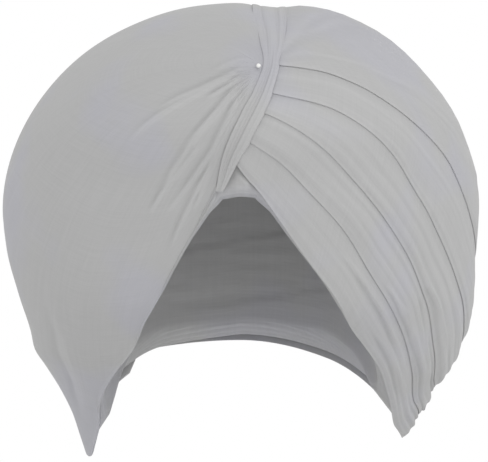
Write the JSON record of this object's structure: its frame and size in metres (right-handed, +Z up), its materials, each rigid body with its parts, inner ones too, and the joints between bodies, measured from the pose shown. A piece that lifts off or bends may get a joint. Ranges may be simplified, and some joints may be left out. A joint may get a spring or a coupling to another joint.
{
  "type": "tied turban pagri",
  "caption": "Tied turban of wound plain cloth with overlapping diagonal turns on one side, a smooth gathered cover on the other, a front pleat held by a pin, and a hollow for the head.",
  "frame": {"origin": "the top of the head's hollow, where the crown of the head meets the turban", "axes": "+Z up, -Y the front with the face opening, +X the side with the overlapping turns (the wearer's left, the viewer's right)"},
  "size_m": [0.2851, 0.2936, 0.2746],
  "materials": {
    "inner_turns": "matt grey cotton voile",
    "right_turn_1": "matt grey cotton voile",
    "right_turn_2": "matt grey cotton voile",
    "right_turn_3": "matt grey cotton voile",
    "right_turn_4": "matt grey cotton voile",
    "right_turn_5": "matt grey cotton voile",
    "left_turn": "matt grey cotton voile",
    "left_cover": "matt grey cotton voile",
    "front_pleat": "matt grey cotton voile",
    "pin": "white pin head"
  },
  "bodies": {
    "root": {"inner_turns": "inner_turns", "right_turn_1": "right_turn_1", "right_turn_2": "right_turn_2", "right_turn_3": "right_turn_3", "right_turn_4": "right_turn_4", "right_turn_5": "right_turn_5", "left_turn": "left_turn", "left_cover": "left_cover", "front_pleat": "front_pleat", "pin": "pin"}
  },
  "joints": []
}
